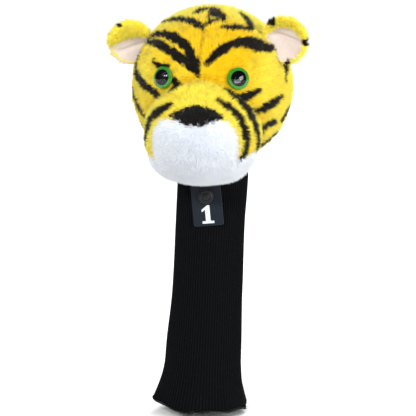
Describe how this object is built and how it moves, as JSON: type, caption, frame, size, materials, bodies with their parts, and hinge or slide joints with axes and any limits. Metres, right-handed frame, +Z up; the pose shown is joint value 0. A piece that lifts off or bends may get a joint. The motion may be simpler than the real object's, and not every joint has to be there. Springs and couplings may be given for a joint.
{
  "type": "golf club head cover",
  "caption": "Padded plush head cover shaped as a tiger's head, with a long knitted sleeve for the shaft and a numbered tag that swings on a rivet.",
  "frame": {"origin": "centre of the neck opening, where the sleeve is sewn to the head", "axes": "+Z up through the head, away from the sleeve; -Y the way the face looks; +X to the right seen from in front"},
  "size_m": [0.1854, 0.175, 0.384],
  "materials": {
    "yellow_plush": "short-pile polyester plush, printed with black stripes",
    "white_plush": "short-pile polyester plush",
    "black_plush": "short-pile polyester plush",
    "ear_satin": "brushed tricot",
    "padding": "polyester wadding",
    "lining": "brushed knit",
    "binding": "woven tape",
    "knit": "ribbed acrylic knit",
    "edging": "overlocked yarn",
    "tag": "fine grained",
    "tag_backing": "fine grained",
    "numeral": "printed",
    "rivet": "moulded with a ring",
    "rivet_metal": "pressed",
    "eye_clear": "moulded clear",
    "eye_green": "painted behind the dome",
    "eye_black": "moulded",
    "washer": "moulded"
  },
  "bodies": {
    "head": {"face_panel_left": "yellow_plush", "face_panel_right": "yellow_plush", "back_panel_left": "yellow_plush", "back_panel_right": "yellow_plush", "muzzle_panel": "yellow_plush", "chin_panel": "white_plush", "nose_patch": "black_plush", "face_padding_left": "padding", "face_padding_right": "padding", "back_padding_left": "padding", "back_padding_right": "padding", "muzzle_filling": "padding", "pocket_lining": "lining", "neck_binding": "binding", "left_eye_lens": "eye_clear", "left_eye_iris": "eye_green", "left_eye_pupil": "eye_black", "left_eye_shank": "eye_black", "left_eye_washer": "washer", "right_eye_lens": "eye_clear", "right_eye_iris": "eye_green", "right_eye_pupil": "eye_black", "right_eye_shank": "eye_black", "right_eye_washer": "washer"},
    "left_ear": {"left_ear_back": "yellow_plush", "left_ear_lining": "ear_satin"},
    "right_ear": {"right_ear_back": "yellow_plush", "right_ear_lining": "ear_satin"},
    "sleeve": {"knit_sleeve": "knit", "hem_edging": "edging", "rivet_cap": "rivet", "rivet_post": "rivet_metal", "rivet_washer": "rivet_metal"},
    "tag": {"tag_face": "tag", "tag_backing": "tag_backing", "tag_numeral": "numeral"}
  },
  "joints": [
    {"name": "neck_bend", "type": "hinge", "parent": "head", "child": "sleeve", "pos_m": [0, 0, 0], "axis": [1, 0, 0], "range_deg": [-8, 40]},
    {"name": "tag_swivel", "type": "hinge", "parent": "sleeve", "child": "tag", "pos_m": [-0.00165, 0, -0.03146], "axis": [0, -1, 0], "range_deg": [-80, 80]},
    {"name": "left_ear_fold", "type": "hinge", "parent": "head", "child": "left_ear", "pos_m": [-0.06435, -0.02845, 0.11022], "axis": [0.53, 0, 0.848], "range_deg": [-30, 45], "stiffness_Nm_per_rad": 0.05},
    {"name": "right_ear_fold", "type": "hinge", "parent": "head", "child": "right_ear", "pos_m": [0.06435, -0.02845, 0.11022], "axis": [0.53, 0, -0.848], "range_deg": [-30, 45], "stiffness_Nm_per_rad": 0.05}
  ]
}
